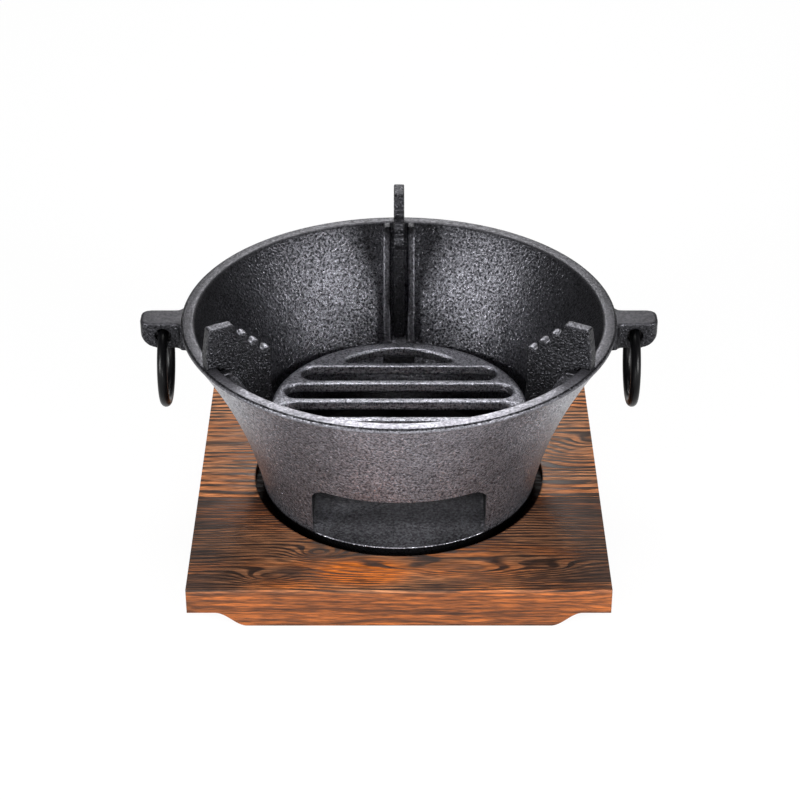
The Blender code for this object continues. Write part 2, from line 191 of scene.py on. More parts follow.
SETTINGS = {
    "hibachi_bowl": HibachiBowlSettings,
    "hibachi_grate": HibachiGrateSettings,
    "hibachi_supports": HibachiSupportSettings,
    "hibachi_rings": HibachiRingSettings,
    "hibachi_base": HibachiBaseSettings,
    "hibachi_finish": HibachiFinishSettings,
    "hibachi_stage": HibachiStageSettings,
}

# The planks' grain, in millimetres: the pith's Y and Z, the year rings' spacing and how far they wander.
# Light brightens a plank, and char and ends burn it and its ends. Each figure swells the rings: X, Y,
# half length, half width and push, and how burnt its middle is, or below 0 how warm.
PLANKS = {
    "front": dict(
        pith=(-190, -40), spacing=2.5, wander=12, light=0.75, char=0.28, ends=1.0, figures=(
            (-47, -85, 13, 6, 9, 1.0), (-76, -108, 15, 6, 8, 0.7), (-22, -103, 34, 15, 6, -0.9),
            (40, -101, 46, 11, 13, -0.3), (88, -98, 14, 5, 4, 0.8))),
    "middle": dict(
        pith=(-70, -60), spacing=3.4, wander=10, light=1.6, char=0.1, ends=0.25, figures=(
            (112, 24, 22, 13, 9, 0.0), (120, 36, 12, 6, 5, 0.6), (104, 5, 40, 5, 4, 0.75),
            (-112, 33, 40, 6, 6, 0.95))),
    "rear": dict(pith=(170, -50), spacing=3.2, wander=9, light=1.5, char=0.1, ends=0.2, figures=()),
}

# The studio's square lamps, in metres and watts.
LAMPS = {
    "key": dict(place=(0.0, -1.5, 0.16), aim=(0.0, 0.0, 0.08), size=0.4, watts=8),
    "left": dict(place=(-0.92, -0.8, 0.42), aim=(0.0, 0.05, 0.1), size=0.5, watts=25),
    "right": dict(place=(0.92, -0.8, 0.42), aim=(0.0, 0.05, 0.1), size=0.5, watts=25),
    "top": dict(place=(0.0, 0.5, 1.6), aim=(0.0, 0.0, 0.1), size=0.7, watts=9),
    "back": dict(place=(0.0, 1.3, 0.9), aim=(0.0, -0.1, 0.13), size=0.4, watts=7),
}


def add_node(tree, kind, inputs=None, output=0, **settings):
    """Adds a node with its settings, each input linked to a socket or set to a value. Gives one output."""
    node = tree.nodes.new(kind)
    for name, value in settings.items():
        setattr(node, name, value)
    for key, value in (inputs or {}).items():
        if isinstance(value, bpy.types.NodeSocket):
            tree.links.new(value, node.inputs[key])
        else:
            node.inputs[key].default_value = value
    return node.outputs[output] if node.outputs else None


def repeats(millimetres):
    """The texture scale at which one cell of a pattern is this many millimetres wide."""
    return 1 / (millimetres * MM)


def new_material(name):
    """An empty material and its node tree."""
    material = bpy.data.materials.new(name)
    material.use_nodes = True
    material.node_tree.nodes.clear()
    return material, material.node_tree


def sand_cast_iron(name, finish, grain, relief):
    """Seasoned sand-cast iron: a pebbled dark grey whose raised grains glint, smoother where it is ground.

    Grain is the pebbles' width and relief their height, in millimetres. Real casting sand is finer, and
    it is drawn as coarse as it needs to show. The mesh's ground attribute smooths the iron and its tone
    attribute lightens or darkens it.
    """
    swell_width = 24
    ground_evens = 0.8
    ground_dulls = 0.15
    material, tree = new_material(name)
    place = add_node(tree, "ShaderNodeTexCoord", output="Object")
    ground = add_node(tree, "ShaderNodeAttribute", output="Fac", attribute_name="ground")
    shade = add_node(tree, "ShaderNodeAttribute", output="Fac", attribute_name="tone")
    pebbles = add_node(tree, "ShaderNodeTexNoise", {
        "Vector": place, "Scale": repeats(grain), "Detail": 2, "Roughness": 0.6})
    swells = add_node(tree, "ShaderNodeTexNoise", {
        "Vector": place, "Scale": repeats(swell_width), "Detail": 2})
    height = add_node(tree, "ShaderNodeMapRange", {
        "Value": pebbles, "From Min": 0.36, "From Max": 0.68})
    tone = add_node(tree, "ShaderNodeMix", {
        0: height, MIX_FIRST: (*finish.iron_pit, 1), MIX_SECOND: (*finish.iron_peak, 1)},
        MIX_RESULT, data_type="RGBA")
    evened = add_node(tree, "ShaderNodeMath", {0: ground, 1: ground_evens}, operation="MULTIPLY")
    tone = add_node(tree, "ShaderNodeMix", {
        0: evened, MIX_FIRST: tone, MIX_SECOND: (*finish.iron_ground, 1)}, MIX_RESULT, data_type="RGBA")
    stain = add_node(tree, "ShaderNodeMapRange", {
        "Value": swells, "From Min": 0.3, "From Max": 0.7, "To Min": 0.82, "To Max": 1.12})
    shade = add_node(tree, "ShaderNodeMath", {0: stain, 1: shade}, operation="MULTIPLY")
    tone = add_node(tree, "ShaderNodeVectorMath", {0: tone, 1: shade}, operation="MULTIPLY")
    strength = add_node(tree, "ShaderNodeMapRange", {"Value": ground, "To Min": 1.0, "To Max": 0.2})
    relieved = add_node(tree, "ShaderNodeBump", {
        "Strength": strength, "Distance": relief * MM, "Height": pebbles})
    gloss = add_node(tree, "ShaderNodeMapRange", {"Value": height, "To Min": 0.42, "To Max": 0.24})
    gloss = add_node(tree, "ShaderNodeMath", {
        0: ground, 1: ground_dulls, 2: gloss}, operation="MULTIPLY_ADD")
    shader = add_node(tree, "ShaderNodeBsdfPrincipled", {
        "Base Color": tone, "Roughness": gloss, "Normal": relieved,
        "Metallic": 0.9, "Specular IOR Level": 0.4})
    add_node(tree, "ShaderNodeOutputMaterial", {"Surface": shader})
    return material


def painted_wire(finish):
    """Steel wire under gloss black paint: long soft highlights, broken a little by the paint's flow."""
    flow_width = 5
    flow_height = 0.1
    material, tree = new_material("Gloss black painted steel wire")
    place = add_node(tree, "ShaderNodeTexCoord", output="Object")
    flow = add_node(tree, "ShaderNodeTexNoise", {
        "Vector": place, "Scale": repeats(flow_width), "Detail": 3})
    tone = add_node(tree, "ShaderNodeMapRange", {"Value": flow, "To Min": 0.7, "To Max": 1.3})
    tone = add_node(tree, "ShaderNodeMix", {
        0: 1.0, MIX_FIRST: (*finish.wire_black, 1), MIX_SECOND: tone},
        MIX_RESULT, data_type="RGBA", blend_type="MULTIPLY")
    gloss = add_node(tree, "ShaderNodeMapRange", {"Value": flow, "To Min": 0.26, "To Max": 0.4})
    rippled = add_node(tree, "ShaderNodeBump", {
        "Strength": 0.3, "Distance": flow_height * MM, "Height": flow})
    shader = add_node(tree, "ShaderNodeBsdfPrincipled", {
        "Base Color": tone, "Roughness": gloss, "Normal": rippled, "Specular IOR Level": 0.12})
    add_node(tree, "ShaderNodeOutputMaterial", {"Surface": shader})
    return material


def year_rings(tree, place, noise, top, plank):
    """Year rings around a plank's pith, as a share of a year, and how burnt and how warm its knots are."""
    ripple = 3
    figure_depth = 1 * MM
    pith_y, pith_z = plank["pith"]
    from_pith = add_node(tree, "ShaderNodeVectorMath", {
        0: place, 1: (0, 1, 1), 2: (0, -pith_y * MM, -pith_z * MM)}, operation="MULTIPLY_ADD")
    ring = add_node(tree, "ShaderNodeVectorMath", {0: from_pith}, "Value", operation="LENGTH")
    for pattern, reach in (("wander", plank["wander"]), ("ripple", ripple)):
        sway = add_node(tree, "ShaderNodeMapRange", {
            "Value": noise[pattern], "To Min": -reach * MM / 2, "To Max": reach * MM / 2}, clamp=False)
        ring = add_node(tree, "ShaderNodeMath", {0: ring, 1: sway}, operation="ADD")
    heart = 0.0
    glow = 0.0
    for x, y, half_length, half_width, push, burn in plank["figures"]:
        offset = add_node(tree, "ShaderNodeVectorMath", {
            0: place, 1: (x * MM, y * MM, top - figure_depth)}, operation="SUBTRACT")
        shares = (repeats(half_length), repeats(half_width), repeats(3 * half_width))
        offset = add_node(tree, "ShaderNodeVectorMath", {0: offset, 1: shares}, operation="MULTIPLY")
        square = add_node(tree, "ShaderNodeVectorMath", {
            0: offset, 1: offset}, "Value", operation="DOT_PRODUCT")
        fall = add_node(tree, "ShaderNodeMath", {0: square, 1: -1.0}, operation="MULTIPLY")
        swell = add_node(tree, "ShaderNodeMath", {0: fall}, operation="EXPONENT")
        ring = add_node(tree, "ShaderNodeMath", {0: swell, 1: push * MM, 2: ring}, operation="MULTIPLY_ADD")
        burnt = add_node(tree, "ShaderNodeMapRange", {
            "Value": swell, "From Min": 0.45, "From Max": 0.9, "To Max": burn}, **SMOOTH)
        heart = add_node(tree, "ShaderNodeMath", {0: heart, 1: burnt}, operation="MAXIMUM")
        warm = add_node(tree, "ShaderNodeMapRange", {
            "Value": swell, "From Min": 0.2, "From Max": 0.8, "To Max": -burn}, **SMOOTH)
        glow = add_node(tree, "ShaderNodeMath", {0: glow, 1: warm}, operation="MAXIMUM")
    years = add_node(tree, "ShaderNodeMath", {0: ring, 1: plank["spacing"] * MM}, operation="DIVIDE")
    phase = add_node(tree, "ShaderNodeMath", {0: years}, operation="FRACT")
    return phase, heart, glow


def torched_pine(name, finish, corner, recess, plank):
    """Torched and brushed softwood: dark grain lines on orange-brown, burnt patches, knots, raised grain.

    The grain runs along X, and corner is the plank's highest one. Real fibres are finer, and they are
    drawn as coarse as they need to show.
    """
    # Noise drawn out along the grain: its cells' length and width in millimetres, and its detail.
    patterns = {
        "wander": (110, 40, 1),
        "ripple": (60, 9, 2),
        "fibre": (13, 1.0, 3),
        "depth": (30, 7, 3),
        "warmth": (60, 22, 3),
        "burn": (55, 20, 3),
        "stripe": (70, 1.8, 2),
        "streak": (50, 2.2, 3),
    }
    least_streak = 0.35
    mean_streak = 0.95
    seat_shade = 0.3
    late_height = 0.7
    fibre_height = 0.6
    relief_height = 0.25
    material, tree = new_material(name)
    place = add_node(tree, "ShaderNodeTexCoord", output="Object")
    x = add_node(tree, "ShaderNodeSeparateXYZ", {0: place}, "X")
    z = add_node(tree, "ShaderNodeSeparateXYZ", {0: place}, "Z")
    noise = {}
    for pattern, (along, across, detail) in patterns.items():
        cells = add_node(tree, "ShaderNodeVectorMath", {
            0: place, 1: (repeats(along), repeats(across), repeats(across))}, operation="MULTIPLY")
        noise[pattern] = add_node(tree, "ShaderNodeTexNoise", {
            "Vector": cells, "Scale": 1.0, "Detail": detail, "Roughness": 0.55})
    phase, heart, glow = year_rings(tree, place, noise, corner.z, plank)
    start = add_node(tree, "ShaderNodeMapRange", {
        "Value": phase, "From Min": 0.35, "From Max": 0.6}, **SMOOTH)
    stop = add_node(tree, "ShaderNodeMapRange", {
        "Value": phase, "From Min": 0.9, "From Max": 1.0, "To Min": 1.0, "To Max": 0.0}, **SMOOTH)
    late = add_node(tree, "ShaderNodeMath", {0: start, 1: stop}, operation="MULTIPLY")

    # The wood between its grain lines, warmer in patches, on the brushed colour of the sides.
    top = add_node(tree, "ShaderNodeMapRange", {
        "Value": z, "From Min": corner.z - 3 * MM, "From Max": corner.z - 0.6 * MM}, **SMOOTH)
    warm = add_node(tree, "ShaderNodeMapRange", {
        "Value": noise["warmth"], "From Min": 0.42, "From Max": 0.7, "To Max": 0.6}, **SMOOTH)
    warm = add_node(tree, "ShaderNodeMath", {0: warm, 1: glow}, operation="MAXIMUM")
    early = [channel * plank["light"] for channel in finish.wood_early]
    tone = add_node(tree, "ShaderNodeMix", {
        0: warm, MIX_FIRST: (*early, 1), MIX_SECOND: (*finish.wood_warm, 1)}, MIX_RESULT, data_type="RGBA")
    tone = add_node(tree, "ShaderNodeMix", {
        0: top, MIX_FIRST: (*finish.wood_edge, 1), MIX_SECOND: tone}, MIX_RESULT, data_type="RGBA")

    # Char in patches, towards the ends and in the knots, with stripes of lighter wood left in it.
    burnt = add_node(tree, "ShaderNodeMapRange", {
        "Value": noise["burn"], "From Min": 0.66 - plank["char"], "From Max": 0.95 - plank["char"]}, **SMOOTH)
    from_middle = add_node(tree, "ShaderNodeMath", {0: x}, operation="ABSOLUTE")
    edge = add_node(tree, "ShaderNodeMapRange", {
        "Value": from_middle, "From Min": corner.x - 80 * MM, "From Max": corner.x - 4 * MM,
        "To Max": plank["ends"]}, **SMOOTH)
    burnt = add_node(tree, "ShaderNodeMath", {0: burnt, 1: edge}, operation="MAXIMUM")
    open_top = add_node(tree, "ShaderNodeMath", {0: top, 1: glow}, operation="SUBTRACT")
    burnt = add_node(tree, "ShaderNodeMath", {0: burnt, 1: open_top}, operation="MULTIPLY")
    burnt = add_node(tree, "ShaderNodeMath", {0: burnt, 1: heart}, operation="MAXIMUM")
    stripes = add_node(tree, "ShaderNodeMapRange", {
        "Value": noise["stripe"], "From Min": 0.38, "From Max": 0.6, "To Min": 0.6, "To Max": 0.97}, **SMOOTH)
    burnt = add_node(tree, "ShaderNodeMath", {0: burnt, 1: stripes}, operation="MULTIPLY")
    tone = add_node(tree, "ShaderNodeMix", {
        0: burnt, MIX_FIRST: tone, MIX_SECOND: (*finish.wood_char, 1)}, MIX_RESULT, data_type="RGBA")

    # Grain lines, deeper in some places and faint on the sides.
    lines = add_node(tree, "ShaderNodeMapRange", {"Value": top, "To Min": 0.35, "To Max": 0.95}, **SMOOTH)
    depth = add_node(tree, "ShaderNodeMapRange", {
        "Value": noise["depth"], "From Min": 0.34, "From Max": 0.54, "To Min": 0.25}, **SMOOTH)
    lines = add_node(tree, "ShaderNodeMath", {0: lines, 1: depth}, operation="MULTIPLY")
    lines = add_node(tree, "ShaderNodeMath", {0: lines, 1: late}, operation="MULTIPLY")
    tone = add_node(tree, "ShaderNodeMix", {
        0: lines, MIX_FIRST: tone, MIX_SECOND: (*finish.wood_late, 1)}, MIX_RESULT, data_type="RGBA")

    # The recess, darkened and dull all over: painted shade, with the char of the fire above it.
    flat = add_node(tree, "ShaderNodeVectorMath", {0: place, 1: (1, 1, 0)}, operation="MULTIPLY")
    radius = add_node(tree, "ShaderNodeVectorMath", {0: flat}, "Value", operation="LENGTH")
    seat = add_node(tree, "ShaderNodeMapRange", {
        "Value": radius, "From Min": recess - 0.4 * MM, "From Max": recess + 1.2 * MM,
        "To Min": 0.94, "To Max": 0.0}, **SMOOTH)
    upper = add_node(tree, "ShaderNodeMapRange", {
        "Value": z, "From Min": corner.z - 15 * MM, "From Max": corner.z - 13 * MM}, **SMOOTH)
    seat = add_node(tree, "ShaderNodeMath", {0: seat, 1: upper}, operation="MULTIPLY")
    # The recess's painted shade colour, a deep brown from the grain lines' colour.
    recess_shade = [channel * seat_shade for channel in finish.wood_late]
    tone = add_node(tree, "ShaderNodeMix", {
        0: seat, MIX_FIRST: tone, MIX_SECOND: (*recess_shade, 1)}, MIX_RESULT, data_type="RGBA")

    # Streaks and fibres, stronger on the sides.
    swing = add_node(tree, "ShaderNodeMapRange", {"Value": top, "To Min": 3.5, "To Max": 0.8}, **SMOOTH)
    streaks = add_node(tree, "ShaderNodeMath", {0: noise["streak"], 1: 0.5}, operation="SUBTRACT")
    streaks = add_node(tree, "ShaderNodeMath", {
        0: streaks, 1: swing, 2: mean_streak}, operation="MULTIPLY_ADD")
    streaks = add_node(tree, "ShaderNodeMath", {0: streaks, 1: least_streak}, operation="MAXIMUM")
    fibres = add_node(tree, "ShaderNodeMapRange", {
        "Value": noise["fibre"], "From Min": 0.36, "From Max": 0.64, "To Min": 0.5, "To Max": 1.45}, **SMOOTH)
    streaks = add_node(tree, "ShaderNodeMath", {0: fibres, 1: streaks}, operation="MULTIPLY")
    tone = add_node(tree, "ShaderNodeMix", {
        0: 1.0, MIX_FIRST: tone, MIX_SECOND: streaks}, MIX_RESULT, data_type="RGBA", blend_type="MULTIPLY")

    relief = add_node(tree, "ShaderNodeMath", {0: late, 1: late_height}, operation="MULTIPLY")
    relief = add_node(tree, "ShaderNodeMath", {
        0: noise["fibre"], 1: fibre_height, 2: relief}, operation="MULTIPLY_ADD")
    raised = add_node(tree, "ShaderNodeBump", {
        "Strength": 0.8, "Distance": relief_height * MM, "Height": relief})
    gloss = add_node(tree, "ShaderNodeMapRange", {"Value": late, "To Min": 0.6, "To Max": 0.45}, **SMOOTH)
    sheen = add_node(tree, "ShaderNodeMapRange", {"Value": seat, "To Min": 0.3, "To Max": 0.05}, **SMOOTH)
    shader = add_node(tree, "ShaderNodeBsdfPrincipled", {
        "Base Color": tone, "Roughness": gloss, "Normal": raised, "Specular IOR Level": sheen})
    add_node(tree, "ShaderNodeOutputMaterial", {"Surface": shader})
    return material


def studio_paper(stage):
    """Matt white studio paper: reads as white to the camera and still takes the object's soft shadow."""
    fleck_width = 2
    whiteness = 0.92
    material, tree = new_material("Matt white studio paper")
    place = add_node(tree, "ShaderNodeTexCoord", output="Object")
    fleck = add_node(tree, "ShaderNodeTexNoise", {
        "Vector": place, "Scale": repeats(fleck_width), "Detail": 2})
    tone = add_node(tree, "ShaderNodeMapRange", {"Value": fleck, "To Min": 0.98, "To Max": 1.02})
    tone = add_node(tree, "ShaderNodeMix", {
        0: 1.0, MIX_FIRST: (*stage.floor, 1), MIX_SECOND: tone},
        MIX_RESULT, data_type="RGBA", blend_type="MULTIPLY")
    paper = add_node(tree, "ShaderNodeBsdfDiffuse", {"Color": tone})
    lit = add_node(tree, "ShaderNodeEmission", {"Color": (1, 1, 1, 1), "Strength": 1.0})
    seen = 0.0
    for ray in ("Is Camera Ray", "Is Glossy Ray", "Is Transmission Ray"):
        path = add_node(tree, "ShaderNodeLightPath", output=ray)
        seen = add_node(tree, "ShaderNodeMath", {0: seen, 1: path}, operation="MAXIMUM")
    share = add_node(tree, "ShaderNodeMath", {0: seen, 1: whiteness}, operation="MULTIPLY")
    shader = add_node(tree, "ShaderNodeMixShader", {0: share, 1: paper, 2: lit})
    add_node(tree, "ShaderNodeOutputMaterial", {"Surface": shader})
    return material


def new_tree(name, sockets):
    """A geometry node tree with these named inputs, and the sockets that give them."""
    tree = bpy.data.node_groups.new(name, "GeometryNodeTree")
    tree.interface.new_socket(name="Mesh", in_out="OUTPUT", socket_type="NodeSocketGeometry")
    for label, kind in sockets.items():
        tree.interface.new_socket(name=label, in_out="INPUT", socket_type=kind)
    return tree, tree.nodes.new("NodeGroupInput").outputs


def end_tree(tree, geometry, material):
    """Ends a tree in real, smooth geometry with its material."""
    real = add_node(tree, "GeometryNodeRealizeInstances", {0: geometry})
    smooth = add_node(tree, "GeometryNodeSetShadeSmooth", {0: real})
    dressed = add_node(tree, "GeometryNodeSetMaterial", {"Geometry": smooth, "Material": material})
    add_node(tree, "NodeGroupOutput", {0: dressed})
    return tree


def turned_tree():
    """Turns a section, drawn as radius and height, once around the Z axis."""
    weld = 0.01 * MM
    tree, given = new_tree("Turned casting", {
        "Section": "NodeSocketObject", "Steps": "NodeSocketInt", "Finish": "NodeSocketMaterial"})
    section = add_node(tree, "GeometryNodeObjectInfo", {"Object": given["Section"]}, "Geometry")
    points = add_node(tree, "GeometryNodeMeshToCurve", {0: section})
    path = add_node(tree, "GeometryNodeCurvePrimitiveCircle", {"Resolution": given["Steps"], "Radius": 1.0})
    path = add_node(tree, "GeometryNodeSetCurveNormal", {0: path}, mode="Z_UP")
    swept = add_node(tree, "GeometryNodeCurveToMesh", {0: path, 1: points})
    closed = add_node(tree, "GeometryNodeMergeByDistance", {"Geometry": swept, "Distance": weld})
    return end_tree(tree, closed, given["Finish"])


def copies_tree():
    """Sets equal copies of a piece around the Z axis."""
    tree, given = new_tree("Copies around the axis", {
        "Piece": "NodeSocketObject", "Count": "NodeSocketInt", "First Angle": "NodeSocketFloat",
        "Finish": "NodeSocketMaterial"})
    piece = add_node(tree, "GeometryNodeObjectInfo", {"Object": given["Piece"]}, "Geometry")
    points = add_node(tree, "GeometryNodePoints", {"Count": given["Count"]})
    index = add_node(tree, "GeometryNodeInputIndex")
    step = add_node(tree, "ShaderNodeMath", {0: math.tau, 1: given["Count"]}, operation="DIVIDE")
    angle = add_node(tree, "ShaderNodeMath", {
        0: index, 1: step, 2: given["First Angle"]}, operation="MULTIPLY_ADD")
    turn = add_node(tree, "ShaderNodeCombineXYZ", {"Z": angle})
    copies = add_node(tree, "GeometryNodeInstanceOnPoints", {
        "Points": points, "Instance": piece, "Rotation": turn})
    return end_tree(tree, copies, given["Finish"])


def bent_wire_tree():
    """Bends a round wire into an upright closed ring about a point."""
    wire_sides = 28
    tree, given = new_tree("Bent wire ring", {
        "Ring Radius": "NodeSocketFloat", "Wire Radius": "NodeSocketFloat", "Steps": "NodeSocketInt",
        "Centre": "NodeSocketVector", "Finish": "NodeSocketMaterial"})
    path = add_node(tree, "GeometryNodeCurvePrimitiveCircle", {
        "Resolution": given["Steps"], "Radius": given["Ring Radius"]})
    wire = add_node(tree, "GeometryNodeCurvePrimitiveCircle", {
        "Resolution": wire_sides, "Radius": given["Wire Radius"]})
    swept = add_node(tree, "GeometryNodeCurveToMesh", {0: path, 1: wire})
    placed = add_node(tree, "GeometryNodeTransform", {
        "Geometry": swept, "Translation": given["Centre"], "Rotation": (0, math.pi / 2, 0)})
    return end_tree(tree, placed, given["Finish"])


def new_object(name, data):
    """An object at the origin that holds a mesh, a curve, a lamp or a camera."""
    obj = bpy.data.objects.new(name, data)
    bpy.context.scene.collection.objects.link(obj)
    return obj


def settled(obj):
    """The mesh of an object with its modifiers in it. The object goes."""
    bpy.context.view_layer.update()
    seen = obj.evaluated_get(bpy.context.evaluated_depsgraph_get())
    mesh = bpy.data.meshes.new_from_object(seen)
    bpy.data.objects.remove(obj, do_unlink=True)
    return mesh


def from_tree(tree, **values):
    """The plain mesh that a geometry node tree makes from these inputs."""
    obj = new_object(tree.name, bpy.data.meshes.new(tree.name))
    nodes = obj.modifiers.new(tree.name, "NODES")
    nodes.node_group = tree
    for item in tree.interface.items_tree:
        if item.in_out == "INPUT":
            nodes[item.identifier] = values[item.name.lower().replace(" ", "_")]
    return settled(obj)


def solid(name, build):
    """A mesh made by a function that fills a bmesh, its faces turned outwards."""
    shape = bmesh.new()
    build(shape)
    bmesh.ops.recalc_face_normals(shape, faces=shape.faces)
    mesh = bpy.data.meshes.new(name)
    shape.to_mesh(mesh)
    shape.free()
    return mesh


def prism(name, outline, low, high):
    """A solid with this outline in X and Y, from one height to another."""
    def build(shape):
        face = shape.faces.new([shape.verts.new((x, y, low)) for x, y in outline])
        grown = bmesh.ops.extrude_face_region(shape, geom=[face])["geom"]
        moved = [v for v in grown if isinstance(v, bmesh.types.BMVert)]
        bmesh.ops.translate(shape, verts=moved, vec=(0, 0, high - low))
    return solid(name, build)


def upright_prism(name, outline, low, high):
    """A solid with this outline in X and Z, from one depth to another towards the vent."""
    mesh = prism(name, outline, low, high)
    mesh.transform(UPRIGHT)
    return mesh


def box_mesh(name, low, high):
    """A rectangular solid between two corners."""
    return prism(name, [(low[0], low[1]), (high[0], low[1]), (high[0], high[1]), (low[0], high[1])],
                 low[2], high[2])


def arc(centre, radius, first, last, steps):
    """Points along an arc, its angles in degrees."""
    angles = [math.radians(first + (last - first) * i / steps) for i in range(steps + 1)]
    return [(centre[0] + radius * math.cos(a), centre[1] + radius * math.sin(a)) for a in angles]


def circle(centre, radius, points):
    """Points around a circle."""
    return arc(centre, radius, 0, 360 - 360 / points, points - 1)


def plate(name, outlines, thickness):
    """A flat plate about the XY plane, its first outline outside and the others holes."""
    weld_distance = 0.001 * MM
    curve = bpy.data.curves.new(name, "CURVE")
    curve.dimensions = "2D"
    curve.fill_mode = "BOTH"
    curve.extrude = thickness / 2
    for outline in outlines:
        spline = curve.splines.new("POLY")
        spline.points.add(len(outline) - 1)
        for point, (x, y) in zip(spline.points, outline):
            point.co = (x, y, 0, 1)
        spline.use_cyclic_u = True
    mesh = settled(new_object(name, curve))
    bpy.data.curves.remove(curve)

    def weld(shape):
        shape.from_mesh(mesh)
        bmesh.ops.remove_doubles(shape, verts=shape.verts, dist=weld_distance)
    return solid(name, weld)


def cut(mesh, *cutters):
    """A mesh less the solids that cut it."""
    obj = new_object("cut", mesh)
    tools = [new_object("cutter", cutter) for cutter in cutters]
    for tool in tools:
        modifier = obj.modifiers.new("cut", "BOOLEAN")
        modifier.operation = "DIFFERENCE"
        modifier.solver = "EXACT"
        modifier.object = tool
    result = settled(obj)
    for tool in tools:
        bpy.data.objects.remove(tool, do_unlink=True)
    return result


def joined(name, meshes):
    """Several meshes as one, their faces turned outwards."""
    def build(shape):
        for mesh in meshes:
            shape.from_mesh(mesh)
    return solid(name, build)


def cast(mesh, voxel, passes):
    """The mesh as one casting: its parts flow together and its edges are rounded."""
    obj = new_object("casting", mesh)
    flow = obj.modifiers.new("flow", "REMESH")
    flow.mode = "VOXEL"
    flow.voxel_size = voxel
    flow.use_smooth_shade = True
    ease = obj.modifiers.new("ease", "SMOOTH")
    ease.factor = 0.5
    ease.iterations = passes
    return settled(obj)


def points_of(mesh):
    """The places of a mesh's vertices as an array."""
    places = numpy.empty(len(mesh.vertices) * 3)
    mesh.vertices.foreach_get("co", places)
    return places.reshape(-1, 3)


def rise_of(mesh):
    """How far each of a mesh's vertices faces up, from -1 to 1, as an array."""
    directions = numpy.empty(len(mesh.vertices) * 3, dtype=numpy.float32)
    mesh.vertex_normals.foreach_get("vector", directions)
    return directions.reshape(-1, 3)[:, 2]


def ramp(values, start, end):
    """How far values have come from a start, given as 0, to an end, given as 1."""
    return numpy.clip((values - start) / (end - start), 0, 1)


def mark(mesh, name, values):
    """Stores a value for each point of a mesh, such as how far it is ground smooth."""
    layer = mesh.attributes.new(name, "FLOAT", "POINT")
    row = numpy.broadcast_to(values, len(mesh.vertices)).astype(numpy.float32)
    layer.data.foreach_set("value", numpy.ascontiguousarray(row))


def place_piece(name, mesh, material, body, node):
    """A finished piece that rides a body and stands for its CAD node."""
    mesh.name = name
    mesh.materials.clear()
    mesh.materials.append(material)
    piece = new_object(name, mesh)
    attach(piece, body)
    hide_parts(node)
    return piece


class Wall:
    """The bowl's turned wall: its outer and inner radius at a height."""

    def __init__(self, bowl):
        self.bowl = bowl
        self.foot = BOWL_LOW.z
        self.rim = BOWL_HIGH.z
        self.rim_radius = BOWL_HIGH.y
        self.floor = self.foot + bowl.floor_thickness
        self.lip = self.rim - bowl.lip_height
        self.sill_round = bowl.edge_round * 0.4
        rise = self.lip - self.foot
        climb = self.rim_radius - bowl.lip_step - bowl.foot_radius
        self.bow = (climb - bowl.taper * rise) / rise ** 2

    def outer(self, z):
        """Outer radius at a height."""
        rise = z - self.foot
        return self.bowl.foot_radius + self.bowl.taper * rise + self.bow * rise ** 2

    def inner(self, z):
        """Inner radius at a height."""
        at_rim = self.outer(self.rim) - (self.rim_radius - self.bowl.rim_width)
        share = (z - self.floor) / (self.rim - self.floor)
        return self.outer(z) - (self.bowl.foot_wall + (at_rim - self.bowl.foot_wall) * share)

    def section(self):
        """The section from the axis under the foot, out, up, over the rim and down to the axis again."""
        steps = 60
        edge = self.bowl.edge_round
        soft = self.bowl.rim_round
        lean = math.atan((self.inner(self.rim) - self.inner(self.rim - soft)) / soft)
        shoulder = self.rim - soft + soft * math.sin(lean)
        outside = [(self.outer(z), z) for z in numpy.linspace(self.foot + edge, self.lip, steps)]
        inside = [(self.inner(z), z) for z in numpy.linspace(shoulder, self.floor + edge, steps)]
        points = [(0, self.foot)]
        points += arc((self.bowl.foot_radius - edge, self.foot + edge), edge, -90, -10, 4)
        points += outside + [(self.rim_radius, self.lip + self.bowl.lip_step)]
        points += arc((self.rim_radius - edge, self.rim - edge), edge, 0, 90, 5)
        top = self.rim_radius - self.bowl.rim_width
        centre = (top + soft * (1 - math.sin(lean)) / math.cos(lean), self.rim - soft)
        points += arc(centre, soft, 90, 180 - math.degrees(lean), 6)[:-1]
        return points + inside + [(self.inner(self.floor) - edge, self.floor), (0, self.floor)]


def eased_sill(mesh, wall):
    """The bowl's shell with the ash floor's front edge, in the vent, rounded."""
    nearness = 0.05 * MM
    jamb_margin = 2 * MM

    def on_sill(vertex):
        x, y, z = vertex.co
        inside = abs(z - wall.floor) < nearness and abs(x) < wall.bowl.vent_width / 2 - jamb_margin
        return inside and y < 0 and abs(math.hypot(x, y) - wall.outer(z)) < nearness

    def build(shape):
        shape.from_mesh(mesh)
        sharp = [edge for edge in shape.edges if all(map(on_sill, edge.verts))]
        bmesh.ops.bevel(shape, geom=sharp, offset=wall.sill_round, offset_type="OFFSET",
                        segments=2, profile=0.5, affect="EDGES", clamp_overlap=False)
    return solid("shell", build)


